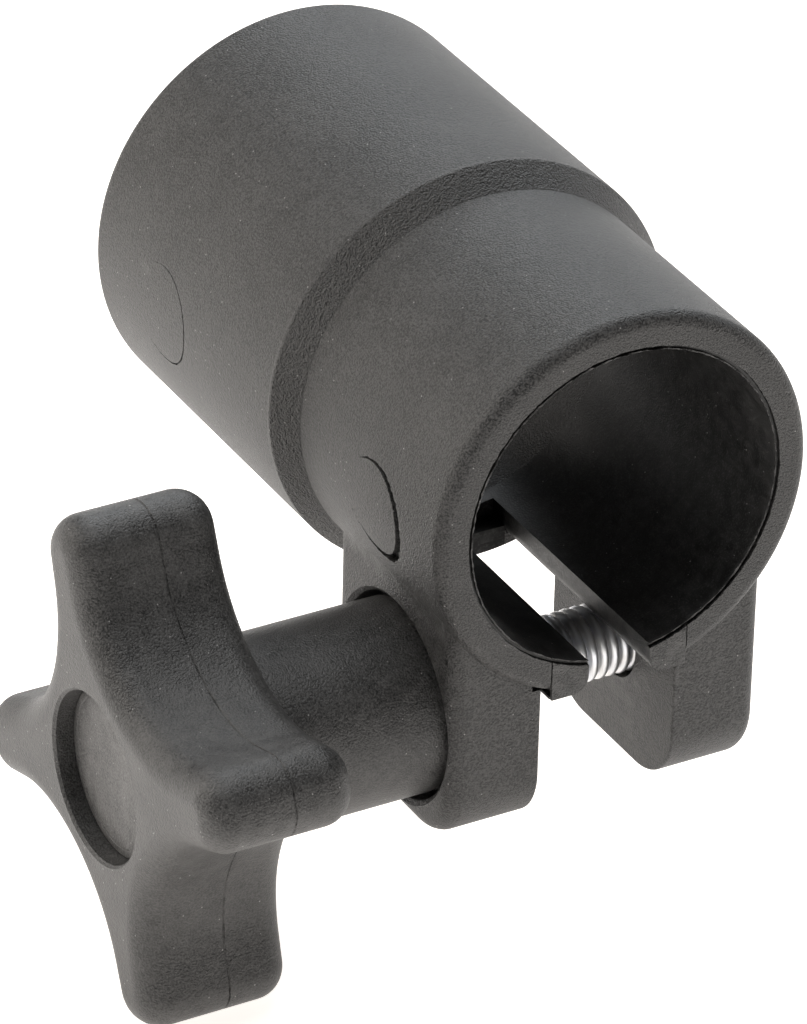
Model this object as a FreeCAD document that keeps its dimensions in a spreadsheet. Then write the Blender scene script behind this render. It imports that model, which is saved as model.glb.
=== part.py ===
import FreeCAD, Part
import os

import Sketcher
from FreeCAD import Placement, Rotation, Vector

# Pipe clamp for stage rigging: a moulded body that joins a tube to a smaller pole.
# The small end is split and closes on the pole when the star knob is turned; the large
# end is a plain socket. X runs across the ears (knob at -X), Y runs along the tube from
# the clamping mouth towards the socket, Z is up. The origin is the centre of the mouth.

# ---------------------------------------------------------------- driving dimensions, in mm
SIZES = [
    # tube of the body
    ("clamp_bore", 35.0, "inside diameter of the split clamping end"),
    ("clamp_wall", 3.8, "wall of the clamping end"),
    ("socket_bore", 40.0, "inside diameter of the plain socket"),
    ("socket_wall", 3.3, "wall of the socket"),
    ("body_length", 71.5, "whole length of the body along the tube"),
    ("clamp_outside", 29.1, "length of the smaller outside diameter"),
    ("step_taper", 2.8, "length of the cone between the two outside diameters"),
    ("clamp_depth", 34.0, "depth of the clamping bore, where the socket's shoulder starts"),
    ("mouth_round", 1.0, "rounding of the tube's outside edge at the clamping mouth"),
    ("tail_round", 1.4, "rounding of the tube's outside edge at the socket"),
    # slot and the lands on each side of it
    ("slot_width", 7.1, "width of the slot under the clamping bore"),
    ("slot_length", 29.7, "length of the slot from the mouth, through the tube's wall"),
    ("relief_length", 32.3, "length from the mouth of the shallow relief that carries the slot on"),
    ("relief_depth", 1.6, "depth of that relief under the clamping bore"),
    ("land_drop", 0.7, "how far the lands' flat stops short of the tube's lowest line"),
    ("land_round", 1.8, "rounding of the lands' lower edges along the slot"),
    # ears
    ("ear_gap", 15.7, "clear distance between the two ears"),
    ("near_inset", 3.15, "how far the knob-side ear's outer face stands in from the tube's side"),
    ("far_inset", 3.25, "how far the nut-side ear's outer face stands in from the tube's side"),
    ("ear_front", 1.9, "distance from the mouth to the ears' front face"),
    ("ear_width", 24.6, "width of the ears along the tube"),
    ("ear_drop", 16.3, "how far the ears reach below the tube"),
    ("ear_corner", 7.0, "radius of the ears' lower corners"),
    ("ear_round", 1.9, "rounding round the outer face of each ear"),
    # clamping bolt
    ("bolt_drop", 3.8, "distance from the tube's lowest line down to the bolt's axis"),
    ("bolt_dia", 8.0, "major diameter of the bolt's thread"),
    ("bolt_length", 60.0, "length of the bolt under its head"),
    ("bolt_tip", 1.0, "chamfer at the bolt's end"),
    ("head_flats", 13.0, "width across the flats of the bolt's head"),
    ("head_height", 5.3, "height of the bolt's head"),
    ("ear_hole", 9.0, "diameter of the hole through each ear"),
    # nut
    ("nut_flats", 13.0, "width across the flats of the nut"),
    ("nut_height", 6.5, "height of the nut"),
    ("pocket_slack", 0.1, "slack across the flats of the hexagon pockets"),
    ("thread_slack", 0.12, "slack on diameter between the bolt and the nut"),
    # washer and the seat in the near ear
    ("washer_bore", 8.4, "inside diameter of the thrust washer"),
    ("washer_width", 16.0, "outside diameter of the thrust washer"),
    ("washer_height", 1.6, "thickness of the thrust washer"),
    ("seat_width", 22.0, "diameter of the seat sunk in the near ear"),
    ("seat_depth", 3.5, "depth of the seat"),
    ("seat_play", 0.5, "room between the washer and the seat's floor"),
    # star knob
    ("neck_width", 20.7, "diameter of the knob's neck"),
    ("neck_length", 18.8, "length of the neck behind the star"),
    ("star_height", 16.5, "thickness of the star"),
    ("star_width", 53.4, "diameter over the tips of the arms"),
    ("arm_width", 11.7, "width of an arm's sides where they would meet the axis"),
    ("arm_taper", 4.0, "angle each side of an arm closes in by towards its tip"),
    ("arm_tip", 3.8, "rounding of the corners at the arms' tips"),
    ("arm_root", 16.7, "hollow radius between two arms"),
    ("star_edge", 3.2, "rounding of the star's front and back edges"),
    ("star_turn", -20.0, "angle the star stands at, degrees about the bolt"),
    ("face_width", 18.1, "diameter of the round recess in the star's face"),
    ("face_sink", 2.2, "depth of that recess down to the cap"),
    # cap over the bolt's head
    ("cap_height", 1.5, "thickness of the cap"),
    ("cap_slack", 0.1, "slack on diameter between the cap and the recess"),
    ("head_room", 0.3, "room between the bolt's head and the cap"),
]

doc = FreeCAD.newDocument("pipe_clamp")
sheet = doc.addObject("Spreadsheet::Sheet", "dim")
for row, (alias, value, meaning) in enumerate(SIZES, start=1):
    sheet.set("A%d" % row, alias)
    sheet.set("B%d" % row, str(value))
    sheet.set("C%d" % row, meaning)
    sheet.setAlias("B%d" % row, alias)
doc.recompute()

# formulas that several pieces share
CLAMP_OUT = "(dim.clamp_bore / 2 + dim.clamp_wall)"
SOCKET_OUT = "(dim.socket_bore / 2 + dim.socket_wall)"
EAR_BACK = "(dim.ear_front + dim.ear_width)"
BOLT_Y = "(dim.ear_front + dim.ear_width / 2)"
BOLT_Z = "(-%s - dim.bolt_drop)" % CLAMP_OUT
LAND_Z = "(-%s + dim.land_drop)" % CLAMP_OUT
EAR_LOW = "(-%s - dim.ear_drop)" % CLAMP_OUT
NEAR_FACE = "(-%s + dim.near_inset)" % CLAMP_OUT
FAR_FACE = "(%s - dim.far_inset)" % CLAMP_OUT
NEAR_EAR = "(-dim.ear_gap / 2 - %s)" % NEAR_FACE
FAR_EAR = "(%s - dim.ear_gap / 2)" % FAR_FACE
SEAT_FLOOR = "(%s + dim.seat_depth)" % NEAR_FACE
NECK_END = "(%s - dim.seat_play - dim.washer_height)" % SEAT_FLOOR
STAR_BACK = "(%s - dim.neck_length)" % NECK_END
STAR_FACE = "(%s - dim.star_height)" % STAR_BACK
CAP_SEAT = "(%s + dim.face_sink + dim.cap_height)" % STAR_FACE
HEAD_SEAT = "(%s + dim.head_room + dim.head_height)" % CAP_SEAT
OVERSHOOT = "5"  # how far a cutting sketch runs past the material


# ---------------------------------------------------------------- helpers
def new_body(label):
    """An empty PartDesign body, named for the piece."""
    body = doc.addObject("PartDesign::Body", label)
    body.Label = label
    return body


def sketch_on(body, role, name, lift="0", turn=None):
    """A sketch on one of the body's own origin planes, lifted along the plane's normal."""
    plane = next(item for item in body.Origin.OriginFeatures if item.Role == role)
    sketch = body.newObject("Sketcher::SketchObject", name)
    sketch.AttachmentSupport = [(plane, "")]
    sketch.MapMode = "FlatFace"
    sketch.setExpression("AttachmentOffset.Base.z", lift)
    if turn:
        base_x, base_y, angle = turn
        sketch.setExpression("AttachmentOffset.Base.x", base_x)
        sketch.setExpression("AttachmentOffset.Base.y", base_y)
        sketch.setExpression("AttachmentOffset.Rotation.Angle", angle)
    return sketch


def hold(sketch, kind, *where, formula):
    """One dimension of a sketch, bound to the sheet."""
    start = 1.0
    index = sketch.addConstraint(Sketcher.Constraint(kind, *where, start))
    sketch.setExpression("Constraints[%d]" % index, formula)


def outline(sketch, corners):
    """A closed outline of straight lines, with every corner held by its two formulas."""
    count = len(corners)
    around = [Rotation(Vector(0, 0, 1), 360.0 * k / count) for k in range(count)]
    start = [turn.multVec(Vector(10, 0, 0)) for turn in around]
    first = sketch.GeometryCount
    for k in range(count):
        sketch.addGeometry(Part.LineSegment(start[k], start[(k + 1) % count]), False)
    for k in range(count):
        sketch.addConstraint(Sketcher.Constraint("Coincident", first + k, 2, first + (k + 1) % count, 1))
    for k, (along, across) in enumerate(corners):
        hold(sketch, "DistanceX", -1, 1, first + k, 1, formula=along)
        hold(sketch, "DistanceY", -1, 1, first + k, 1, formula=across)


def box_outline(sketch, low_x, low_y, high_x, high_y):
    outline(sketch, [(low_x, low_y), (high_x, low_y), (high_x, high_y), (low_x, high_y)])


def circle(sketch, centre_x, centre_y, radius):
    index = sketch.addGeometry(Part.Circle(Vector(0.1, 0.1, 0), Vector(0, 0, 1), 1.0), False)
    hold(sketch, "Radius", index, formula=radius)
    hold(sketch, "DistanceX", -1, 1, index, 3, formula=centre_x)
    hold(sketch, "DistanceY", -1, 1, index, 3, formula=centre_y)


def hexagon(sketch, centre_x, centre_y, flats):
    """A hexagon with two corners up and down, given by its width across the flats."""
    half_flat = "(%s) / 2" % flats
    corner = "((%s) / sqrt(3))" % flats
    signs = [(0, 1), (-1, 0.5), (-1, -0.5), (0, -1), (1, -0.5), (1, 0.5)]
    places = []
    for across, up in signs:
        along = "%s + (%s) * (%s)" % (centre_x, across, half_flat)
        places.append((along, "%s + (%s) * %s" % (centre_y, up, corner)))
    outline(sketch, places)


def pad(body, sketch, name, length):
    """Material added from the sketch, along its plane's normal."""
    feature = body.newObject("PartDesign::Pad", name)
    feature.Profile = sketch
    feature.setExpression("Length", length)
    doc.recompute()
    return feature


def pocket(body, sketch, name, length):
    """Material cut from the sketch, against its plane's normal. The volume has to go down."""
    before = body.Shape.Volume
    feature = body.newObject("PartDesign::Pocket", name)
    feature.Profile = sketch
    feature.setExpression("Length", length)
    doc.recompute()
    if feature.Shape.Volume >= before - 1e-6:
        raise RuntimeError("%s cut nothing" % name)
    return feature


def revolve(body, sketch, name):
    """A full turn of a sketch about its own upright axis."""
    feature = body.newObject("PartDesign::Revolution", name)
    feature.Profile = sketch
    feature.ReferenceAxis = (sketch, ["V_Axis"])
    feature.Angle = 360.0
    doc.recompute()
    return feature


def edges_where(feature, test):
    return ["Edge%d" % (k + 1) for k, edge in enumerate(feature.Shape.Edges) if test(edge)]


def soften(body, name, test, radius):
    """A fillet on the body's edges that pass a test."""
    base = body.Tip
    names = edges_where(base, test)
    if not names:
        raise RuntimeError("%s found no edge" % name)
    feature = body.newObject("PartDesign::Fillet", name)
    feature.Base = (base, names)
    feature.setExpression("Radius", radius)
    doc.recompute()
    return feature


def near(value, target, slack=0.02):
    return abs(value - target) < slack


def is_circle(edge, radius=None):
    if not isinstance(edge.Curve, Part.Circle):
        return False
    return radius is None or near(edge.Curve.Radius, radius)


def runs_along(edge, direction):
    if not isinstance(edge.Curve, Part.Line):
        return False
    return near(abs(edge.tangentAt(edge.FirstParameter).dot(direction)), 1.0, 1e-4)


X_AXIS = Vector(1, 0, 0)
clamp_out = sheet.clamp_bore / 2 + sheet.clamp_wall
socket_out = sheet.socket_bore / 2 + sheet.socket_wall
ear_low = -clamp_out - sheet.ear_drop
near_face = -clamp_out + sheet.near_inset
far_face = clamp_out - sheet.far_inset
ear_back = sheet.ear_front + sheet.ear_width


# ---------------------------------------------------------------- moulded body
def make_clamp_body():
    body = new_body("clamp_body")

    profile = sketch_on(body, "XY_Plane", "tube_profile")
    outline(profile, [
        ("0", "0"),
        (CLAMP_OUT, "0"),
        (CLAMP_OUT, "dim.clamp_outside"),
        (SOCKET_OUT, "dim.clamp_outside + dim.step_taper"),
        (SOCKET_OUT, "dim.body_length"),
        ("0", "dim.body_length"),
    ])
    revolve(body, profile, "tube")

    # ears, as deep blocks that start inside the tube
    for side, start, thickness in (("far", "dim.ear_gap / 2", FAR_EAR), ("near", NEAR_FACE, NEAR_EAR)):
        block = sketch_on(body, "YZ_Plane", side + "_ear_outline", lift=start)
        box_outline(block, "dim.ear_front", EAR_LOW, EAR_BACK, "-dim.clamp_bore / 4")
        pad(body, block, side + "_ear", thickness)
    soften(body, "ear_corners", is_ear_corner, "dim.ear_corner")
    soften(body, "ear_rounds", is_ear_outer_edge, "dim.ear_round")

    # flat lands under the tube, between the ears
    land = sketch_on(body, "XY_Plane", "land_outline", lift=LAND_Z)
    box_outline(land, "-dim.ear_gap / 2", "0", "dim.ear_gap / 2", "dim.slot_length")
    pad(body, land, "lands", "dim.clamp_wall")
    trim = sketch_on(body, "XY_Plane", "land_trim", lift=LAND_Z)
    box_outline(trim, "-dim.ear_gap / 2", "-" + OVERSHOOT, "dim.ear_gap / 2", "dim.slot_length")
    pocket(body, trim, "land_flat", OVERSHOOT)

    # the two bores and the slot
    bore = sketch_on(body, "XZ_Plane", "clamp_bore_outline")
    circle(bore, "0", "0", "dim.clamp_bore / 2")
    pocket(body, bore, "clamp_bore", "dim.body_length")
    socket = sketch_on(body, "XZ_Plane", "socket_outline", lift="-dim.clamp_depth")
    circle(socket, "0", "0", "dim.socket_bore / 2")
    pocket(body, socket, "socket", "dim.body_length")
    slot = sketch_on(body, "XY_Plane", "slot_outline")
    box_outline(slot, "-dim.slot_width / 2", "-" + OVERSHOOT, "dim.slot_width / 2", "dim.slot_length")
    pocket(body, slot, "slot", SOCKET_OUT + " + " + OVERSHOOT)
    soften(body, "land_rounds", is_land_edge, "dim.land_round")
    relief = sketch_on(body, "XY_Plane", "relief_outline", lift="-dim.clamp_bore / 4")
    box_outline(relief, "-dim.slot_width / 2", "0", "dim.slot_width / 2", "dim.relief_length")
    pocket(body, relief, "slot_relief", "dim.clamp_bore / 4 + dim.relief_depth")

    # bolt hole through both ears, the knob's seat and the nut's pocket
    hole = sketch_on(body, "YZ_Plane", "ear_hole_outline", lift=FAR_FACE)
    circle(hole, BOLT_Y, BOLT_Z, "dim.ear_hole / 2")
    pocket(body, hole, "ear_holes", "%s - %s" % (FAR_FACE, NEAR_FACE))
    seat = sketch_on(body, "YZ_Plane", "seat_outline", lift=SEAT_FLOOR)
    circle(seat, BOLT_Y, BOLT_Z, "dim.seat_width / 2")
    pocket(body, seat, "seat", "dim.seat_depth + " + OVERSHOOT)
    nest = sketch_on(body, "YZ_Plane", "nut_pocket_outline", lift=FAR_FACE)
    hexagon(nest, BOLT_Y, BOLT_Z, "dim.nut_flats + dim.pocket_slack")
    pocket(body, nest, "nut_pocket", "dim.nut_height")

    soften(body, "mouth_rounds", is_mouth_edge, "dim.mouth_round")
    soften(body, "tail_rounds", is_tail_edge, "dim.tail_round")
    return body


def is_ear_corner(edge):
    """A lower corner of an ear: a straight edge across the ear at its lowest level."""
    return runs_along(edge, X_AXIS) and near(edge.CenterOfMass.z, ear_low)


def is_ear_outer_edge(edge):
    """An edge round an ear's outer face, apart from where that face meets the tube."""
    box = edge.BoundBox
    flat = near(box.XMin, box.XMax)
    outside = near(box.XMin, near_face) or near(box.XMin, far_face)
    on_tube = all(near((v.X ** 2 + v.Z ** 2) ** 0.5, clamp_out) for v in edge.Vertexes)
    return flat and outside and not on_tube


def is_land_edge(edge):
    """A lower edge of a land, along the slot."""
    middle = edge.CenterOfMass
    beside_slot = near(abs(middle.x), sheet.slot_width / 2) and near(middle.z, -clamp_out + sheet.land_drop)
    return runs_along(edge, Vector(0, 1, 0)) and beside_slot


def is_mouth_edge(edge):
    return is_circle(edge, clamp_out) and near(edge.CenterOfMass.y, 0)


def is_tail_edge(edge):
    return is_circle(edge, socket_out) and near(edge.CenterOfMass.y, sheet.body_length)


# ---------------------------------------------------------------- star knob
def make_star_knob():
    body = new_body("star_knob")

    disc = sketch_on(body, "YZ_Plane", "star_outline", lift=STAR_FACE)
    circle(disc, BOLT_Y, BOLT_Z, "dim.star_width / 2")
    pad(body, disc, "star", "dim.star_height")

    # the space between two arms, cut four times round the bolt's axis
    about_bolt = (BOLT_Y, BOLT_Z, "dim.star_turn")
    gap = sketch_on(body, "YZ_Plane", "arm_gap_outline", lift=STAR_BACK, turn=about_bolt)
    inner = "dim.arm_width / 2 / (1 + tan(dim.arm_taper))"
    outer = "(dim.arm_width / 2 - dim.star_width * tan(dim.arm_taper))"
    far = "dim.star_width"
    outline(gap, [(inner, inner), (far, outer), (far, far), (outer, far)])
    first_gap = pocket(body, gap, "arm_gap", "dim.star_height")
    others = body.newObject("PartDesign::PolarPattern", "arm_gaps")
    others.Originals = [first_gap]
    others.Axis = (gap, ["N_Axis"])
    others.Angle = 360.0
    others.Occurrences = 4
    body.Tip = others
    doc.recompute()

    knob_axis = Vector(0, ear_back - sheet.ear_width / 2, -clamp_out - sheet.bolt_drop)

    def from_axis(edge):
        gap_to_axis = edge.CenterOfMass - knob_axis
        return (gap_to_axis.y ** 2 + gap_to_axis.z ** 2) ** 0.5

    def is_arm_root(edge):
        return runs_along(edge, X_AXIS) and from_axis(edge) < sheet.star_width / 4

    def is_arm_tip(edge):
        return runs_along(edge, X_AXIS) and near(from_axis(edge), sheet.star_width / 2)

    def is_rim(edge):
        return near(edge.BoundBox.XMin, edge.BoundBox.XMax)

    soften(body, "arm_roots", is_arm_root, "dim.arm_root")
    soften(body, "arm_tips", is_arm_tip, "dim.arm_tip")
    soften(body, "star_edges", is_rim, "dim.star_edge")

    neck = sketch_on(body, "YZ_Plane", "neck_outline", lift=STAR_BACK)
    circle(neck, BOLT_Y, BOLT_Z, "dim.neck_width / 2")
    pad(body, neck, "neck", "dim.neck_length")

    recess = sketch_on(body, "YZ_Plane", "face_recess_outline", lift=CAP_SEAT)
    circle(recess, BOLT_Y, BOLT_Z, "dim.face_width / 2")
    pocket(body, recess, "face_recess", "dim.face_sink + dim.cap_height")
    nest = sketch_on(body, "YZ_Plane", "head_pocket_outline", lift=HEAD_SEAT)
    hexagon(nest, BOLT_Y, BOLT_Z, "dim.head_flats + dim.pocket_slack")
    pocket(body, nest, "head_pocket", "dim.head_height + dim.head_room")
    hole = sketch_on(body, "YZ_Plane", "shank_hole_outline", lift=NECK_END)
    circle(hole, BOLT_Y, BOLT_Z, "dim.bolt_dia / 2 + dim.pocket_slack / 2")
    pocket(body, hole, "shank_hole", "dim.neck_length + dim.star_height")
    return body


# ---------------------------------------------------------------- bought-in fasteners
def stand_on_axis(piece, start):
    """Lays a piece that was made along +Z down the bolt's axis, with its foot at a given X."""
    piece.Placement = Placement(Vector(0, 0, 0), Rotation(Vector(0, 1, 0), 90))
    piece.setExpression("Placement.Base.x", start)
    piece.setExpression("Placement.Base.y", BOLT_Y)
    piece.setExpression("Placement.Base.z", BOLT_Z)


def prism(name, flats, height):
    piece = doc.addObject("Part::Prism", name)
    piece.Polygon = 6
    piece.setExpression("Circumradius", "(%s) / sqrt(3)" % flats)
    piece.setExpression("Height", height)
    return piece


def rod(name, diameter, height):
    piece = doc.addObject("Part::Cylinder", name)
    piece.setExpression("Radius", "(%s) / 2" % diameter)
    piece.setExpression("Height", height)
    return piece


def make_clamp_bolt():
    """Hexagon-head bolt, its head held in the knob. Its thread is kept as a plain shank."""
    head = prism("bolt_head", "dim.head_flats", "dim.head_height")
    shank = rod("bolt_shank", "dim.bolt_dia", "dim.head_height + dim.bolt_length")
    blank = doc.addObject("Part::Fuse", "bolt_blank")
    blank.Base = head
    blank.Tool = shank
    doc.recompute()
    bolt = doc.addObject("Part::Chamfer", "clamp_bolt")
    bolt.Base = blank
    end = sheet.head_height + sheet.bolt_length
    for k, edge in enumerate(blank.Shape.Edges, start=1):
        if is_circle(edge) and near(edge.CenterOfMass.z, end):
            bolt.Edges = [(k, sheet.bolt_tip, sheet.bolt_tip)]
    stand_on_axis(bolt, "%s - dim.head_height" % HEAD_SEAT)
    return bolt


def make_clamp_nut():
    """Hexagon nut, held against turning in the far ear."""
    nut = doc.addObject("Part::Cut", "clamp_nut")
    nut.Base = prism("nut_blank", "dim.nut_flats", "dim.nut_height")
    nut.Tool = rod("nut_thread", "dim.bolt_dia + dim.thread_slack", "dim.nut_height")
    stand_on_axis(nut, "%s - dim.nut_height" % FAR_FACE)
    return nut


def make_thrust_washer():
    washer = doc.addObject("Part::Cut", "thrust_washer")
    washer.Base = rod("washer_blank", "dim.washer_width", "dim.washer_height")
    washer.Tool = rod("washer_hole", "dim.washer_bore", "dim.washer_height")
    stand_on_axis(washer, NECK_END)
    return washer


def make_knob_cap():
    """Thin cap pressed into the star's face, over the bolt's head."""
    cap = rod("knob_cap", "dim.face_width - dim.cap_slack", "dim.cap_height")
    stand_on_axis(cap, "%s - dim.cap_height" % CAP_SEAT)
    return cap


pieces = [
    make_clamp_body(),
    make_star_knob(),
    make_clamp_bolt(),
    make_clamp_nut(),
    make_thrust_washer(),
    make_knob_cap(),
]
doc.recompute()

# ---------------------------------------------------------------- checks and export
for item in doc.Objects:
    if "Invalid" in item.State or "Error" in item.State:
        raise RuntimeError("%s failed: %s" % (item.Name, item.State))
for piece in pieces:
    if piece.Shape.isNull() or not piece.Shape.isValid():
        raise RuntimeError("%s has no valid shape" % piece.Label)

os.makedirs("parts", exist_ok=True)
for piece in pieces:
    piece.Shape.exportStep("parts/%s.step" % piece.Label)
    print("%-14s %8.1f mm3, %d solid" % (piece.Label, piece.Shape.Volume, len(piece.Shape.Solids)))
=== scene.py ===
import math

import bmesh
import bpy
from mathutils import Matrix, Vector


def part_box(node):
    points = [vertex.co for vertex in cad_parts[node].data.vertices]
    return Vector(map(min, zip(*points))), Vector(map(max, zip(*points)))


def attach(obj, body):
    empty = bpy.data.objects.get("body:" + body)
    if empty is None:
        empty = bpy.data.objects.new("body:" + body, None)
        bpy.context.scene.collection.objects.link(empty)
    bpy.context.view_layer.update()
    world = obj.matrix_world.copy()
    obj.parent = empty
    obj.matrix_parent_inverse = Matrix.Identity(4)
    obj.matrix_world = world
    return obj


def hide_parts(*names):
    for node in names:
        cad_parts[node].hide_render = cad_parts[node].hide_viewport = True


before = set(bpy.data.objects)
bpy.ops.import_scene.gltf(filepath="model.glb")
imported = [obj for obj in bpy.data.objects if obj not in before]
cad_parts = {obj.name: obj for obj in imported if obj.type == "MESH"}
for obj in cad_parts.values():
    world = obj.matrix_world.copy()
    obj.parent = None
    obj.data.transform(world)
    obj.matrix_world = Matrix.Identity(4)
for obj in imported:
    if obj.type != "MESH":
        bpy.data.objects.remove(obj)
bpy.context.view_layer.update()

# Stage pipe clamp. X runs across the ears with the star knob at -X, Y runs along the tube from the
# clamping mouth to the socket, Z is up. Lengths below are in millimetres and times MM in metres.
MM = 0.001
TURN = math.pi / 180


def in_mm(node):
    """A frame node's lowest and highest corners, in millimetres."""
    low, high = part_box(node)
    return low / MM, high / MM


# ---------------------------------------------------------------- sizes read from the frame
body_low, body_high = in_mm("clamp_body")
knob_low, knob_high = in_mm("star_knob")
bolt_low, bolt_high = in_mm("clamp_bolt")
nut_low, nut_high = in_mm("clamp_nut")
washer_low, washer_high = in_mm("thrust_washer")
cap_low, cap_high = in_mm("knob_cap")

TUBE_LENGTH = body_high.y
SOCKET_OUT = body_high.x
EAR_LOW = body_low.z
AXIS_Y = (cap_low.y + cap_high.y) / 2
AXIS_Z = (cap_low.z + cap_high.z) / 2
NUT_FACE = nut_high.x

# ---------------------------------------------------------------- sizes of the body
CLAMP_BORE = 17.5
SOCKET_BORE = 20.0
CLAMP_OUT = 21.3
CLAMP_DEPTH = 34.0
TAPER_START = 29.1
TAPER_END = 31.9
SLOT_HALF = 3.55
SLOT_END = 29.7
RELIEF_END = 32.3
RELIEF_LOW = -19.1
LAND_Z = -20.6
LAND_ROUND = 1.8
EAR_INNER = 7.85
NEAR_EAR = -18.15
FAR_EAR = 18.05
EAR_FRONT = 1.9
EAR_BACK = 26.5
EAR_TOP = -CLAMP_BORE / 2
EAR_CORNER = 7.0
EAR_ROUND = 1.9
HOLE_RADIUS = 4.5
SEAT_RADIUS = 11.0
SEAT_FLOOR = -14.65
BLEND_RADIUS = 6.0
MARK_RADIUS = 5.5
RING_COUNT = 11
RING_STEP = 1.2
NUT_THICK = 6.5

# ---------------------------------------------------------------- sizes of the bolt
BOLT_RADIUS = 4.0
PITCH = 1.25
HEAD_FLATS = 13.0
HEAD_THICK = 5.3
NUT_FLATS = 12.98
POCKET_FLATS = HEAD_FLATS + 0.1
SHANK_HOLE = 4.05
NUT_HOLE = 4.06


# ---------------------------------------------------------------- modelling helpers
def alone():
    """Nothing selected, in object mode."""
    if bpy.context.object and bpy.context.object.mode != "OBJECT":
        bpy.ops.object.mode_set(mode="OBJECT")
    bpy.ops.object.select_all(action="DESELECT")


def take(piece):
    """Makes a piece the only selected and the active one."""
    alone()
    piece.select_set(True)
    bpy.context.view_layer.objects.active = piece


def set_down(piece):
    """Leaves edit mode and writes the piece's place into its mesh."""
    take(piece)
    bpy.ops.object.transform_apply(location=True, rotation=True, scale=True)


FACING = {"X": (0, math.pi / 2, 0), "Y": (-math.pi / 2, 0, 0)}
ALONG = {"X": Vector((1, 0, 0)), "Y": Vector((0, 1, 0))}


def rounded(corners, steps=6):
    """Stations (along, radius) through corners (along, radius, rounding), with an arc at each rounding."""
    stations = []
    for k, (along, radius, rounding) in enumerate(corners):
        here = Vector((along, radius))
        if not rounding:
            stations.append(here)
            continue
        before = (Vector(corners[k - 1][:2]) - here).normalized()
        after = (Vector(corners[k + 1][:2]) - here).normalized()
        half = before.angle(after) / 2
        middle = here + (before + after).normalized() * rounding / math.sin(half)
        reach = rounding / math.tan(half)
        start = here + before * reach - middle
        sweep = start.angle_signed(here + after * reach - middle)
        for j in range(steps + 1):
            turn = Matrix.Rotation(-sweep * j / steps, 2)
            stations.append(middle + turn @ start)
    return stations


def turned(name, stations, axis="Y", centre=(0, 0, 0), count=256, ring=False):
    """A turned solid: a circle carried from station to station. A ring's last station is its first."""
    alone()
    line = ALONG[axis]
    middle = Vector(centre)
    along, radius = stations[0]
    bpy.ops.mesh.primitive_circle_add(vertices=count, radius=radius * MM,
                                      fill_type="NOTHING" if ring else "NGON",
                                      location=(middle + line * along) * MM, rotation=FACING[axis])
    piece = bpy.context.object
    piece.name = name
    bpy.ops.object.mode_set(mode="EDIT")
    for (along, radius), (next_along, next_radius) in zip(stations, stations[1:]):
        step = line * (next_along - along) * MM
        if ring:
            bpy.ops.mesh.extrude_edges_move(TRANSFORM_OT_translate={"value": step})
        else:
            bpy.ops.mesh.extrude_region_move(TRANSFORM_OT_translate={"value": step})
        grow = next_radius / radius
        if abs(grow - 1) > 1e-9:
            bpy.ops.transform.resize(value=(grow, grow, grow),
                                     center_override=(middle + line * next_along) * MM)
    bpy.ops.mesh.select_all(action="SELECT")
    if ring:
        bpy.ops.mesh.remove_doubles(threshold=1e-7)
    bpy.ops.mesh.normals_make_consistent(inside=False)
    set_down(piece)
    return piece


def block(name, low, high):
    """A box between two corners."""
    alone()
    low, high = Vector(low), Vector(high)
    bpy.ops.mesh.primitive_cube_add(size=1, location=(low + high) / 2 * MM, scale=(high - low) * MM)
    piece = bpy.context.object
    piece.name = name
    set_down(piece)
    return piece


def hexagon(name, flats, low, high):
    """A hexagonal bar along the bolt's axis, with two of its corners up and down."""
    alone()
    bpy.ops.mesh.primitive_cylinder_add(vertices=6, radius=flats / math.sqrt(3) * MM, depth=(high - low) * MM,
                                        location=Vector(((low + high) / 2, AXIS_Y, AXIS_Z)) * MM,
                                        rotation=FACING["X"])
    piece = bpy.context.object
    piece.name = name
    set_down(piece)
    return piece


def combine(piece, tool, operation="DIFFERENCE"):
    """Cuts, joins or crosses a piece with a tool, which is used up."""
    take(piece)
    mod = piece.modifiers.new("combine", "BOOLEAN")
    mod.operation = operation
    mod.solver = "EXACT"
    mod.object = tool
    bpy.ops.object.modifier_apply(modifier=mod.name)
    bpy.data.objects.remove(tool)


def cut(piece, tool):
    combine(piece, tool, "DIFFERENCE")


def add(piece, tool):
    combine(piece, tool, "UNION")


def pick_edges(piece, test):
    """Selects, in edit mode, the edges whose two ends (in millimetres) pass a test."""
    take(piece)
    bpy.ops.object.mode_set(mode="EDIT")
    bpy.ops.mesh.select_mode(type="EDGE")
    bpy.ops.mesh.select_all(action="DESELECT")
    mesh = bmesh.from_edit_mesh(piece.data)
    picked = 0
    for edge in mesh.edges:
        start, end = edge.verts[0].co / MM, edge.verts[1].co / MM
        if test(start, end):
            edge.select_set(True)
            picked += 1
    mesh.select_flush_mode()
    bmesh.update_edit_mesh(piece.data)
    return picked


def bevel(piece, width, steps, test):
    """Rounds the edges that pass a test."""
    if pick_edges(piece, test):
        bpy.ops.mesh.bevel(offset=width * MM, segments=steps, profile=0.5, affect="EDGES",
                           clamp_overlap=False)
    else:
        print("no edge picked on", piece.name)
    bpy.ops.object.mode_set(mode="OBJECT")


def near(value, target, slack=0.01):
    return abs(value - target) < slack


def along_x(start, end):
    return near(start.y, end.y) and near(start.z, end.z)


def finish_piece(piece, body, node, material, corner=30):
    """Smooth shading with crisp corners, then the finish and the piece's body; its frame node is hidden."""
    take(piece)
    bpy.ops.object.mode_set(mode="EDIT")
    bpy.ops.mesh.select_all(action="SELECT")
    bpy.ops.mesh.remove_doubles(threshold=1e-6)
    bpy.ops.object.mode_set(mode="OBJECT")
    bpy.ops.object.shade_smooth_by_angle(angle=corner * TURN)
    mod = piece.modifiers.new("even_shading", "WEIGHTED_NORMAL")
    mod.keep_sharp = True
    bpy.ops.object.modifier_apply(modifier=mod.name)
    piece.data.materials.clear()
    piece.data.materials.append(material)
    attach(piece, body)
    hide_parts(node)


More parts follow.
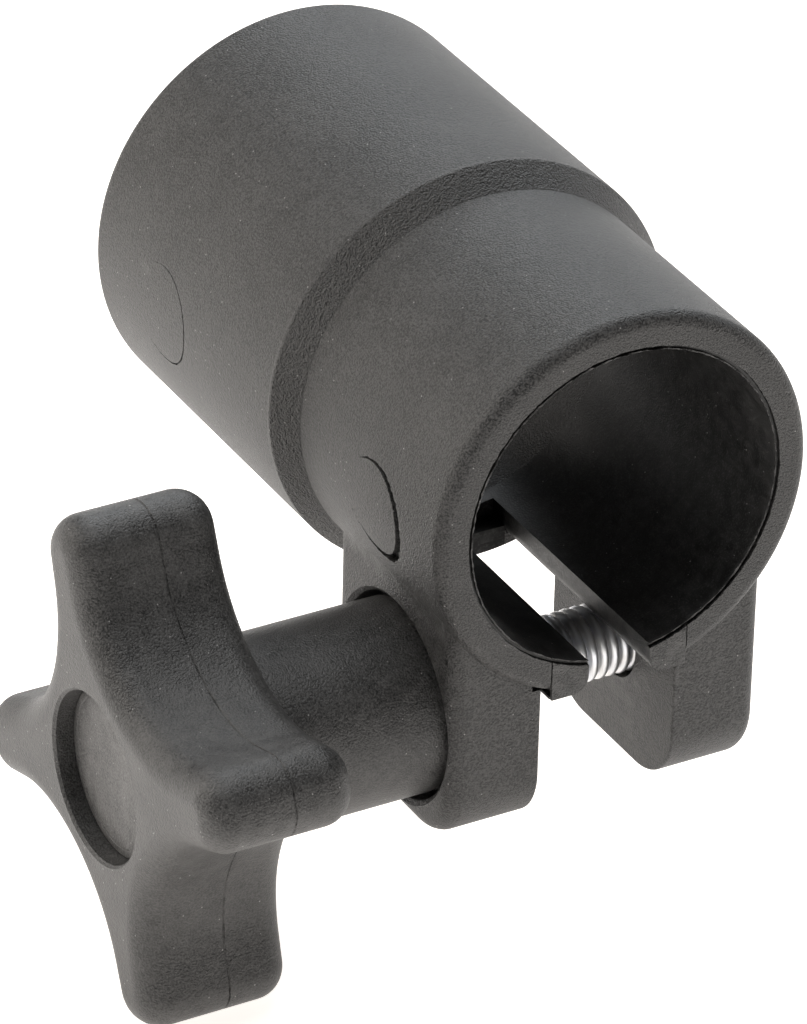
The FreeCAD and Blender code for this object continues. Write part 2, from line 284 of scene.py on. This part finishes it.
# ---------------------------------------------------------------- finishes
class Wire:
    """One output of a finish's nodes. Python arithmetic on it adds Math nodes."""

    def __init__(self, finish, socket):
        self.finish = finish
        self.socket = socket

    def maths(self, operation, *values):
        return self.finish.node("ShaderNodeMath", {"operation": operation}, dict(enumerate(values)))

    def __add__(self, other):
        return self.maths("ADD", self, other)

    def __radd__(self, other):
        return self.maths("ADD", other, self)

    def __sub__(self, other):
        return self.maths("SUBTRACT", self, other)

    def __rsub__(self, other):
        return self.maths("SUBTRACT", other, self)

    def __mul__(self, other):
        return self.maths("MULTIPLY", self, other)

    def __rmul__(self, other):
        return self.maths("MULTIPLY", other, self)

    def __truediv__(self, other):
        return self.maths("DIVIDE", self, other)

    def __pow__(self, other):
        return self.maths("POWER", self, other)

    def __gt__(self, other):
        return self.maths("GREATER_THAN", self, other)

    def __lt__(self, other):
        return self.maths("LESS_THAN", self, other)

    def also(self, name):
        """Another output of the same node."""
        return Wire(self.finish, self.socket.node.outputs[name])

    def ramp(self, low, high):
        """0 below low, 1 above high, and a soft rise between."""
        return self.finish.node("ShaderNodeMapRange", {"interpolation_type": "SMOOTHSTEP"},
                                {"Value": self, "From Min": low, "From Max": high,
                                 "To Min": 0.0, "To Max": 1.0})


class Finish:
    """A material and its nodes."""

    def __init__(self, name):
        self.material = bpy.data.materials.new(name)
        self.material.use_nodes = True
        self.tree = self.material.node_tree
        self.tree.nodes.clear()

    def node(self, kind, settings=None, values=None, out=0):
        """Adds a node: its type, its settings, then the values or links of its inputs."""
        node = self.tree.nodes.new(kind)
        for name, setting in (settings or {}).items():
            setattr(node, name, setting)
        for name, value in (values or {}).items():
            socket = node.inputs[name]
            if isinstance(value, Wire):
                self.tree.links.new(value.socket, socket)
            else:
                socket.default_value = value
        return Wire(self, node.outputs[out]) if len(node.outputs) else None

    def noise(self, place, size, detail=2.0, roughness=0.5):
        """Cloudy noise from 0 to 1 whose features are about size millimetres across."""
        return self.node("ShaderNodeTexNoise", {}, {"Vector": place, "Scale": 1 / (size * MM),
                                                    "Detail": detail, "Roughness": roughness})

    def mix(self, amount, first, second):
        """A colour between two colours."""
        return self.node("ShaderNodeMix", {"data_type": "RGBA"}, {0: amount, 6: first, 7: second}, out=2)

    def surface(self, values):
        """The Principled shader, joined to the output."""
        shader = self.node("ShaderNodeBsdfPrincipled", {}, values)
        self.node("ShaderNodeOutputMaterial", {}, {"Surface": shader})
        return self.material


def grey(level, warm=0.0):
    """A grey, a little warm above 0 or cool below it."""
    return (level * (1 + warm), level, level * (1 - warm), 1.0)


def moulded_plastic(name, level, gloss, grain_depth, contrast):
    """Black glass-filled nylon from a blasted mould: a fine grain, faint clouds and a few pale specks."""
    finish = Finish(name)
    place = finish.node("ShaderNodeTexCoord", out="Object")
    split = finish.node("ShaderNodeSeparateXYZ", {}, {0: place}, out="Y")
    along = split / MM
    from_axis = ((split.also("X") / MM) ** 2 + (split.also("Z") / MM) ** 2) ** 0.5
    # Inside the bores and the slot the grain is finer and a little glossier, and the colour is darkened there
    # as painted shade of the hollows.
    in_slot = ((split.also("X") / MM) ** 2 < (SLOT_HALF + 0.07) ** 2) * (split.also("Z") / MM < -SLOT_HALF)
    in_bore = (1 - from_axis.ramp(SOCKET_BORE - 0.1, SOCKET_BORE + 0.1)) * along.ramp(0.1, 0.3)
    inside = (in_bore + in_slot).ramp(0.0, 1.0)
    # The taper band gets a coarser grain, and its colour is lifted there as a painted sheen of glints.
    cone = along.ramp(TAPER_START - 0.4, TAPER_START + 0.1) - along.ramp(TAPER_END - 0.1, TAPER_END + 0.4)
    taper = cone * (1 - inside) * (from_axis < SOCKET_OUT + 0.5)
    grain = finish.noise(place, size=0.20, detail=1.0, roughness=0.5)
    coarse = finish.noise(place, size=0.50, detail=1.0, roughness=0.5)
    clouds = finish.noise(place, size=9.0, detail=3.0, roughness=0.5)
    patches = finish.noise(place, size=1.6, detail=2.0, roughness=0.5)
    cells = finish.node("ShaderNodeTexVoronoi", {"feature": "F1"}, {"Vector": place, "Scale": 1 / (1.1 * MM)})
    chosen = finish.node("ShaderNodeSeparateColor", {}, {0: cells.also("Color")})
    specks = (cells < 0.075) * (chosen > 0.6)
    # Sharp roundings, in patches, are lightened and made a little glossier: partly edge wear, partly a
    # painted highlight along the edges.
    edge_wear_and_highlight = finish.node("ShaderNodeNewGeometry", out="Pointiness").ramp(0.51, 0.58) * patches.ramp(0.3, 0.7)
    height = (grain + coarse * 0.5) * (1 + 2.0 * taper) * (1 - 0.85 * inside)
    normal = finish.node("ShaderNodeBump", {}, {"Height": height, "Distance": grain_depth * MM,
                                                "Strength": 1.0})
    tone = ((clouds - 0.5) * 0.4 + (patches - 0.5) * 0.4 + (grain - 0.5) * contrast
            + taper * 0.4 - inside * 0.4)
    base = finish.mix((tone + 0.5).ramp(0.0, 1.0), grey(level * 0.1, 0.02), grey(level * 2.2, 0.02))
    base = finish.mix(edge_wear_and_highlight * 0.5, base, grey(0.10, 0.02))
    base = finish.mix(specks * 0.7, base, grey(0.40, 0.02))
    rough = gloss + (patches - 0.5) * 0.12 + (grain - 0.5) * 0.5 - inside * 0.06 - edge_wear_and_highlight * 0.06
    return finish.surface({"Base Color": base, "Roughness": rough, "Normal": normal, "IOR": 1.5})


def zinc_plate(name, level, roughness):
    """Bright zinc on steel: fine drawn lines, and a blue tint that comes and goes."""
    finish = Finish(name)
    place = finish.node("ShaderNodeTexCoord", out="Object")
    fine = finish.noise(place, 0.15, 3.0, 0.6)
    clouds = finish.noise(place, 1.8, 2.0, 0.5)
    base = finish.mix(clouds, (level * 0.86, level * 0.9, level, 1), (level, level * 0.98, level * 0.92, 1))
    rough = roughness + (clouds - 0.5) * 0.15 + (fine - 0.5) * 0.1
    normal = finish.node("ShaderNodeBump", {}, {"Height": fine, "Distance": 0.004 * MM, "Strength": 1.0})
    return finish.surface({"Base Color": base, "Roughness": rough, "Metallic": 1.0, "Normal": normal})


def pale_floor():
    finish = Finish("pale_floor")
    place = finish.node("ShaderNodeTexCoord", out="Object")
    clouds = finish.noise(place, 120.0, 2.0, 0.5)
    base = finish.mix(clouds, grey(0.90, 0.02), grey(0.94, 0.02))
    return finish.surface({"Base Color": base, "Roughness": 0.8, "Emission Color": (1.0, 0.95, 0.90, 1),
                           "Emission Strength": 0.95})


body_plastic = moulded_plastic("body_plastic", level=0.034, gloss=0.51, grain_depth=0.15, contrast=2.4)
knob_plastic = moulded_plastic("knob_plastic", level=0.046, gloss=0.47, grain_depth=0.10, contrast=1.2)
cap_plastic = moulded_plastic("cap_plastic", level=0.085, gloss=0.47, grain_depth=0.09, contrast=1.2)
zinc_steel = zinc_plate("zinc_steel", level=0.80, roughness=0.36)


# ---------------------------------------------------------------- moulded body
def make_clamp_body():
    tube = turned("clamp_body_shell", rounded([
        (0, 18.6, 0),
        (0, CLAMP_OUT, 1.5),
        *close_rings(7.3, CLAMP_OUT),
        (TAPER_START, CLAMP_OUT, 0.8),
        (TAPER_END, SOCKET_OUT, 0.8),
        *close_rings(49.9, SOCKET_OUT),
        (TUBE_LENGTH, SOCKET_OUT, 1.4),
        (TUBE_LENGTH, 19.0, 0),
    ], 8))

    # flat lands on each side of the slot
    overlap = 0.01
    wide = EAR_INNER + overlap
    add(tube, block("land", (-wide, -0.03, LAND_Z - 0.6), (wide, SLOT_END, -16.5)))
    cut(tube, block("land_trim", (-wide, -5, -30), (wide, SLOT_END + overlap, LAND_Z)))

    add(tube, make_ear("far_ear", EAR_INNER, FAR_EAR))
    add(tube, make_ear("near_ear", -EAR_INNER, NEAR_EAR))
    for face in (NEAR_EAR, FAR_EAR):
        add(tube, make_ear_blend(face))

    cut(tube, make_bore_tool())
    cut(tube, make_slot_tool())
    cut(tube, block("slot_relief", (-SLOT_HALF, 5, RELIEF_LOW), (SLOT_HALF, RELIEF_END, -12)))
    for side in (-1, 1):
        make_land_seam(tube, side)
    cut_moulding_marks(tube)

    # bolt hole, the knob's seat and the nut's pocket
    centre = (0, AXIS_Y, AXIS_Z)
    cut(tube, turned("ear_hole", [(-30, HOLE_RADIUS), (30, HOLE_RADIUS)], "X", centre, 64))
    cut(tube, turned("seat", rounded([
        (-30, SEAT_RADIUS + 0.6, 0),
        (NEAR_EAR - 0.05, SEAT_RADIUS + 0.6, 0),
        (NEAR_EAR + 0.5, SEAT_RADIUS, 0.3),
        (SEAT_FLOOR, SEAT_RADIUS, 0.5),
        (SEAT_FLOOR, 2, 0),
    ]), "X", centre, 128))
    cut(tube, hexagon("nut_pocket", POCKET_FLATS, NUT_FACE - NUT_THICK, NUT_FACE + 5))
    return tube


def close_rings(start, radius):
    """Extra rings of the shell round a mark, so that cutting it leaves no streaks in the shading."""
    return [(start + RING_STEP * k, radius, 0) for k in range(RING_COUNT)]


def make_slot_tool():
    """The slot's cutter. Below the lands it flares, which leaves their lower edges round."""
    tool = block("slot", (-SLOT_HALF, -5, -45), (SLOT_HALF, SLOT_END, -12))
    for side in (-1, 1):
        edge = side * (SLOT_HALF + LAND_ROUND)
        inner, outer = sorted((side * (SLOT_HALF - 0.5), edge))
        corner = block("land_corner", (inner, -5, LAND_Z - 1), (outer, SLOT_END, LAND_Z + LAND_ROUND))
        cut(corner, turned("land_round", [(-6, LAND_ROUND), (40, LAND_ROUND)], "Y",
                           (edge, 0, LAND_Z + LAND_ROUND), 64))
        add(tool, corner)
    return tool


def make_land_seam(tube, side):
    """The thin seam at the mouth between a land and the ring, and the dark notch behind its foot."""
    seam = side * EAR_INNER
    cut(tube, block("land_seam", (seam - 0.07, -1, -25), (seam + 0.07, 0.35, -15)))
    low, high = sorted((seam - side * 0.5, seam + side * 1.1))
    cut(tube, block("land_notch", (low, 0.32, LAND_Z + 0.3), (high, 4.5, LAND_Z + 1.15)))


def cut_moulding_marks(tube):
    """Circles left on the knob's side by two round inserts of the mould.

    The one near the mouth has a torn edge.
    """
    cut_mark(tube, SOCKET_OUT, Vector((0, 56.1, -0.4)), lean=0.11, depth=0.25, torn=0.06)
    cut_mark(tube, CLAMP_OUT, Vector((0, 13.5, -1.9)), lean=0.55, depth=0.9, torn=0.2)


def cut_mark(tube, surface, centre, lean, depth, torn):
    """A crescent groove in the tube's side, widest towards the mouth and run out at the other side."""
    start = -25
    ring = turned("mark", [(start, MARK_RADIUS), (0, MARK_RADIUS)], "X", centre, 100)
    # each end's ring is made ragged and then pressed flat, because a cutter needs flat ends
    for end in (start, 0):
        pick_edges(ring, lambda a, b: near(a.x, end) and near(b.x, end))
        bpy.ops.transform.vertex_random(offset=torn * MM, uniform=0.0, normal=0.0, seed=3)
        bpy.ops.transform.resize(value=(0, 1, 1), center_override=(end * MM, 0, 0))
    aside = Vector((0, lean, lean * 0.2))
    core = MARK_RADIUS - lean * 0.8
    cut(ring, turned("mark_core", [(start - 1, core), (1, core)], "X", centre + aside, 100))
    cut(ring, turned("mark_depth", [(0, surface - depth), (80, surface - depth)]))
    cut(tube, ring)


def make_ear(name, inner, outer):
    """A lug with round lower corners and a rounding round its outer face."""
    low = (min(inner, outer), EAR_FRONT, EAR_LOW)
    high = (max(inner, outer), EAR_BACK, EAR_TOP)
    ear = block(name, low, high)
    bevel(ear, EAR_CORNER, 18, lambda a, b: along_x(a, b) and near(a.z, EAR_LOW))
    bevel(ear, EAR_ROUND, 8, lambda a, b: near(a.x, outer) and near(b.x, outer)
          and not (near(a.z, EAR_TOP) and near(b.z, EAR_TOP)))
    bevel(ear, 0.25, 3, lambda a, b: near(a.x, inner) and near(b.x, inner)
          and not (near(a.z, EAR_TOP) and near(b.z, EAR_TOP)))
    return ear


def make_ear_blend(face):
    """A slim hollow fillet where an ear's outer face runs into the tube."""
    side = math.copysign(1, face)
    across = abs(face) + BLEND_RADIUS
    down = -math.sqrt((CLAMP_OUT + BLEND_RADIUS) ** 2 - across ** 2)
    touch = down * CLAMP_OUT / (CLAMP_OUT + BLEND_RADIUS)
    low, high = sorted((side * (abs(face) - 0.7), side * (abs(face) + 1.2)))
    strip = block("ear_blend", (low, EAR_FRONT + EAR_ROUND, down), (high, EAR_BACK - EAR_ROUND, touch))
    cut(strip, turned("blend_hollow", [(-5, BLEND_RADIUS), (40, BLEND_RADIUS)], "Y",
                      (side * across, 0, down), 256))
    return strip


def make_bore_tool():
    """Both bores in one cutter. Its first rings leave a small rebate with a thin ragged lip in the mouth."""
    tool = turned("bores", [
        (-1, 17.90),
        (-0.02, 17.90),
        (0.42, 17.86),
        (0.44, 17.58),
        (0.16, 17.54),
        (0.14, 17.42),
        (0.8, CLAMP_BORE),
        (CLAMP_DEPTH, CLAMP_BORE),
        (CLAMP_DEPTH, SOCKET_BORE),
        (TUBE_LENGTH - 0.3, SOCKET_BORE),
        (TUBE_LENGTH + 1, SOCKET_BORE + 1.3),
    ])
    pick_edges(tool, lambda a, b: near(a.y, b.y) and 0.1 < a.y < 0.2)
    bpy.ops.transform.vertex_random(offset=0.10 * MM, uniform=0.0, normal=0.0, seed=7)
    bpy.ops.object.mode_set(mode="OBJECT")
    pick_edges(tool, lambda a, b: near(a.y, b.y, 0.001) and near(a.y, -0.02, 0.005))
    bpy.ops.transform.vertex_random(offset=0.09 * MM, uniform=0.0, normal=0.0, seed=11)
    bpy.ops.object.mode_set(mode="OBJECT")
    return tool


# ---------------------------------------------------------------- star knob
STAR_FACE = knob_low.x
NECK_END = knob_high.x
STAR_THICK = 16.5
STAR_BACK = STAR_FACE + STAR_THICK
STAR_TIP = 26.7
STAR_TURN = -20.0
ARM_HALF = 5.85
ARM_CLOSE = 4.0
ARM_TIP_ROUND = 3.8
ARM_ROOT_ROUND = 16.7
STAR_EDGE = 3.2
NECK_RADIUS = 10.35
RECESS_RADIUS = 9.05
PARTING_SHARE = 0.56


def place_star_corner(index):
    """Where a corner of the star's plain outline lies, before its corners are rounded: (Y, Z)."""
    slope = math.tan(ARM_CLOSE * TURN)
    arm, part = divmod(index, 4)
    if part == 0:
        inner = ARM_HALF / (1 + slope)
        spot = Vector((inner, -inner))
    else:
        half = ARM_HALF - STAR_TIP * slope
        shoulder = Vector((math.sqrt(STAR_TIP ** 2 - half ** 2), (part - 2) * half))
        spot = Vector((STAR_TIP, 0)) if part == 2 else shoulder
    angle = arm * math.pi / 2 + (90 + STAR_TURN) * TURN
    return Vector((AXIS_Y + spot.x * math.cos(angle) - spot.y * math.sin(angle),
                   AXIS_Z + spot.x * math.sin(angle) + spot.y * math.cos(angle)))


def make_star_knob():
    alone()
    bpy.ops.mesh.primitive_circle_add(vertices=16, radius=STAR_TIP * MM, fill_type="NGON",
                                      location=Vector((STAR_FACE, AXIS_Y, AXIS_Z)) * MM, rotation=FACING["X"])
    star = bpy.context.object
    star.name = "star_knob_moulding"
    set_down(star)
    ring = [star.data.vertices[k] for k in range(16)]
    for index, vertex in enumerate(ring):
        spot = place_star_corner(index)
        vertex.co = Vector((STAR_FACE, spot.x, spot.y)) * MM
    take(star)
    bpy.ops.object.mode_set(mode="EDIT")
    bpy.ops.mesh.select_all(action="SELECT")
    bpy.ops.mesh.extrude_region_move(TRANSFORM_OT_translate={"value": (STAR_THICK * MM, 0, 0)})
    bpy.ops.mesh.select_all(action="SELECT")
    bpy.ops.mesh.normals_make_consistent(inside=False)
    bpy.ops.object.mode_set(mode="OBJECT")

    def from_axis(spot):
        return math.hypot(spot.y - AXIS_Y, spot.z - AXIS_Z)

    half_open = (90 + 2 * ARM_CLOSE) / 2 * TURN
    root_reach = ARM_ROOT_ROUND / math.tan(half_open)
    bevel(star, root_reach, 28, lambda a, b: along_x(a, b) and from_axis(a) < 15)
    bevel(star, ARM_TIP_ROUND * 0.86, 12, lambda a, b: along_x(a, b) and 26.0 < from_axis(a) < 27
          and not on_arm_middle(a))
    bevel(star, STAR_EDGE, 10, lambda a, b: near(a.x, b.x) and (near(a.x, STAR_FACE) or near(a.x, STAR_BACK)))

    # the thin line where the two mould halves meet, round the arms' sides; the cuts lie closer
    # together than the usual threshold, so they need a small one of their own
    parting = STAR_FACE + PARTING_SHARE * STAR_THICK
    take(star)
    bpy.ops.object.mode_set(mode="EDIT")
    for shift in (-0.13, -0.05, 0.05, 0.13):
        bpy.ops.mesh.select_all(action="SELECT")
        bpy.ops.mesh.bisect(plane_co=((parting + shift) * MM, 0, 0), plane_no=(1, 0, 0), threshold=1e-7)
    bpy.ops.mesh.select_mode(type="FACE")
    bpy.ops.mesh.select_all(action="DESELECT")
    mesh = bmesh.from_edit_mesh(star.data)
    for face in mesh.faces:
        if near(face.calc_center_median().x / MM, parting, 0.02) and abs(face.normal.x) < 0.1:
            face.select_set(True)
    bmesh.update_edit_mesh(star.data)
    bpy.ops.transform.shrink_fatten(value=-0.10 * MM)
    bpy.ops.transform.vertex_random(offset=0.09 * MM, uniform=0.0, normal=0.0, seed=5)
    bpy.ops.object.mode_set(mode="OBJECT")

    centre = (0, AXIS_Y, AXIS_Z)
    add(star, turned("neck", rounded([
        (STAR_BACK - 6, NECK_RADIUS - 2, 0),
        (STAR_BACK - 2, NECK_RADIUS, 0),
        (NECK_END, NECK_RADIUS, 0.4),
        (NECK_END, 2, 0),
    ]), "X", centre, 128))
    cut(star, turned("face_recess", rounded([
        (STAR_FACE - 4, RECESS_RADIUS + 0.4, 0),
        (STAR_FACE, RECESS_RADIUS + 0.3, 0),
        (STAR_FACE + 0.3, RECESS_RADIUS, 0),
        (cap_high.x, RECESS_RADIUS, 0),
        (cap_high.x, 2, 0),
    ]), "X", centre, 128))
    cut(star, hexagon("head_pocket", POCKET_FLATS, cap_high.x - 1, bolt_low.x + HEAD_THICK))
    cut(star, turned("shank_hole", [(-60, SHANK_HOLE), (0, SHANK_HOLE)], "X", centre, 64))
    return star


def on_arm_middle(spot):
    angle = math.degrees(math.atan2(spot.z - AXIS_Z, spot.y - AXIS_Y)) - STAR_TURN
    return abs((angle + 45) % 90 - 45) < 2


# ---------------------------------------------------------------- fasteners
def make_clamp_bolt():
    """Hexagon-head bolt with a real right-hand thread."""
    centre = (0, AXIS_Y, AXIS_Z)
    head_end = bolt_low.x + HEAD_THICK
    tip = bolt_high.x
    thread = make_thread("bolt_thread", head_end - 1, tip, BOLT_RADIUS - 0.60, BOLT_RADIUS - 0.02)
    combine(thread, turned("thread_room", [
        (head_end - 0.5, BOLT_RADIUS - 0.9),
        (head_end + 0.5, BOLT_RADIUS - 0.7),
        (head_end + 1.4, BOLT_RADIUS + 0.2),
        (tip - 1.1, BOLT_RADIUS + 0.1),
        (tip, BOLT_RADIUS - 1),
    ], "X", centre, 96), "INTERSECT")
    head = hexagon("bolt_head", HEAD_FLATS, bolt_low.x, head_end)
    combine(head, turned("head_room", [
        (bolt_low.x, 6.3),
        (bolt_low.x + 0.75, 7.6),
        (head_end + 1, 7.6),
    ], "X", centre, 96), "INTERSECT")
    add(head, thread)
    head.name = "clamp_bolt_threaded"
    return head


def make_thread(name, low, high, root, crest):
    """A threaded rod: one tooth of the thread, screwed along the bolt's axis and cut square at both ends."""
    alone()
    bpy.ops.mesh.primitive_plane_add(size=1 * MM)
    rod = bpy.context.object
    rod.name = name
    bpy.ops.object.mode_set(mode="EDIT")
    mesh = bmesh.from_edit_mesh(rod.data)
    mesh.verts.ensure_lookup_table()
    for vertex in mesh.verts:
        vertex.select_set(vertex.index != 0)
    bmesh.update_edit_mesh(rod.data)
    bpy.ops.mesh.delete(type="VERT")
    mesh = bmesh.from_edit_mesh(rod.data)
    mesh.verts.ensure_lookup_table()
    mesh.verts[0].co = Vector((0, 0, root)) * MM
    mesh.verts[0].select_set(True)
    bmesh.update_edit_mesh(rod.data)
    tooth = [(0.0, 0.0), (0.06, 0.0), (0.20, 0.45), (0.32, 0.80), (0.44, 0.95), (0.60, 1.0), (0.76, 0.95),
             (0.88, 0.80), (1.0 - 0.06, 0.40), (1.0, 0.0)]
    for (along, up), (next_along, next_up) in zip(tooth, tooth[1:]):
        step = Vector(((next_along - along) * PITCH, 0, (next_up - up) * (crest - root))) * MM
        bpy.ops.mesh.extrude_vertices_move(TRANSFORM_OT_translate={"value": step})
    bpy.ops.object.mode_set(mode="OBJECT")
    turns = int((high - low) / PITCH) + 4
    mod = rod.modifiers.new("winding", "SCREW")
    mod.axis = "X"
    mod.angle = 2 * math.pi
    mod.screw_offset = PITCH * MM
    mod.iterations = turns
    mod.steps = 40
    mod.render_steps = 40
    mod.use_merge_vertices = True
    mod.merge_threshold = 1e-6
    bpy.ops.object.modifier_apply(modifier=mod.name)
    bpy.ops.object.mode_set(mode="EDIT")
    bpy.ops.mesh.select_all(action="SELECT")
    bpy.ops.mesh.remove_doubles(threshold=1e-6)
    bpy.ops.mesh.select_all(action="SELECT")
    shift = Vector((low - 2 * PITCH, AXIS_Y, AXIS_Z)) * MM
    bpy.ops.transform.translate(value=shift)
    for end, side in ((low, -1), (high + 0.5, 1)):
        bpy.ops.mesh.select_all(action="SELECT")
        bpy.ops.mesh.bisect(plane_co=(end * MM, 0, 0), plane_no=(side, 0, 0), use_fill=True, clear_outer=True)
    bpy.ops.mesh.select_all(action="SELECT")
    bpy.ops.mesh.normals_make_consistent(inside=False)
    set_down(rod)
    return rod


def make_clamp_nut():
    centre = (0, AXIS_Y, AXIS_Z)
    low, high = nut_low.x, nut_high.x
    nut = hexagon("clamp_nut_chamfered", NUT_FLATS, low, high)
    combine(nut, turned("nut_room", [(low, 6.4), (low + 0.65, 7.55), (high - 0.65, 7.55), (high, 6.4)],
                        "X", centre, 96), "INTERSECT")
    cut(nut, turned("nut_thread", [
        (low - 1, 5.4),
        (low + 0.35, NUT_HOLE),
        (high - 0.35, NUT_HOLE),
        (high + 1, 5.4),
    ], "X", centre, 96))
    return nut


def make_thrust_washer():
    low, high = washer_low.x, washer_high.x
    inner, outer, soft = 4.2, 8.0, 0.25
    return turned("thrust_washer_ring", [
        (low, inner + soft), (low, outer - soft), (low + soft / 2, outer - soft / 4), (low + soft, outer),
        (high - soft, outer), (high - soft / 2, outer - soft / 4), (high, outer - soft), (high, inner + soft),
        (high - soft, inner), (low + soft, inner), (low, inner + soft),
    ], "X", (0, AXIS_Y, AXIS_Z), 96, ring=True)


def make_knob_cap():
    low, high = cap_low.x, cap_high.x
    return turned("knob_cap_disc", rounded([
        (low, 1, 0),
        (low, 7.9, 0),
        (low + 0.06, 7.95, 0),
        (low + 0.06, 8.15, 0),
        (low, 8.2, 0),
        (low, 8.98, 0.2),
        (high, 8.98, 0),
        (high, 1, 0),
    ], 4), "X", (0, AXIS_Y, AXIS_Z), 128)


finish_piece(make_clamp_body(), "clamp", "clamp_body", body_plastic)
finish_piece(make_star_knob(), "knob", "star_knob", knob_plastic)
finish_piece(make_clamp_bolt(), "knob", "clamp_bolt", zinc_steel)
finish_piece(make_clamp_nut(), "clamp", "clamp_nut", zinc_steel)
finish_piece(make_thrust_washer(), "washer", "thrust_washer", zinc_steel)
finish_piece(make_knob_cap(), "knob", "knob_cap", cap_plastic)


# ---------------------------------------------------------------- floor, light and camera
def make_floor():
    alone()
    level = knob_low.z - 0.3
    bpy.ops.mesh.primitive_plane_add(size=8, location=(0, 0, level * MM))
    floor = bpy.context.object
    floor.name = "floor"
    set_down(floor)
    floor.data.materials.append(pale_floor())


def softbox(name, place, aim, width, height, power, colour=(1, 1, 1)):
    """A rectangular area light that faces a point. Places are in metres."""
    alone()
    bpy.ops.object.light_add(type="AREA", location=place)
    lamp = bpy.context.object
    lamp.name = name
    lamp.data.shape = "RECTANGLE"
    lamp.data.size = width
    lamp.data.size_y = height
    lamp.data.energy = power
    lamp.data.color = colour
    lamp.rotation_euler = (Vector(aim) - Vector(place)).to_track_quat("-Z", "Y").to_euler()


def make_lights():
    middle = (0, 0.03, -0.01)
    softbox("back_light", (0.65, 0.80, 0.65), middle, width=1.1, height=0.7, power=10,
            colour=(0.93, 0.97, 1.0))
    softbox("left_light", (-0.50, 0.42, 0.36), (-0.05, 0.06, -0.05), width=0.5, height=0.4, power=3.2,
            colour=(1.0, 0.95, 0.89))
    softbox("top_light", (0.0, 0.1, 1.2), middle, width=0.9, height=0.7, power=8)
    world = bpy.data.worlds.new("studio")
    world.use_nodes = True
    world.node_tree.nodes["Background"].inputs["Color"].default_value = (0.95, 0.97, 1.0, 1)
    world.node_tree.nodes["Background"].inputs["Strength"].default_value = 0.05
    bpy.context.scene.world = world
    bpy.context.scene.view_settings.view_transform = "Standard"


def make_camera():
    """The viewing angle: left of the mouth and above it, a long way off with a long lens."""
    azimuth, elevation, roll = -29.541 * TURN, 30.940 * TURN, 1.441 * TURN
    back = Vector((math.sin(azimuth) * math.cos(elevation), -math.cos(azimuth) * math.cos(elevation),
                   math.sin(elevation)))
    level = Vector((math.cos(azimuth), math.sin(azimuth), 0))
    upright = back.cross(level)
    right = level * math.cos(roll) + upright * math.sin(roll)
    up = upright * math.cos(roll) - level * math.sin(roll)
    target = Vector((0, 30, -5))
    away, aside, below = 736.205, 7.315, 10.180
    place = target + back * away - level * aside - upright * below
    data = bpy.data.cameras.new("camera")
    data.sensor_width = 36
    data.lens = 251.55
    data.clip_start = 0.05
    data.clip_end = 20
    camera = bpy.data.objects.new("camera", data)
    bpy.context.scene.collection.objects.link(camera)
    camera.matrix_world = Matrix.Translation(place * MM) @ Matrix((right, up, back)).transposed().to_4x4()
    bpy.context.scene.camera = camera


make_floor()
make_lights()
make_camera()
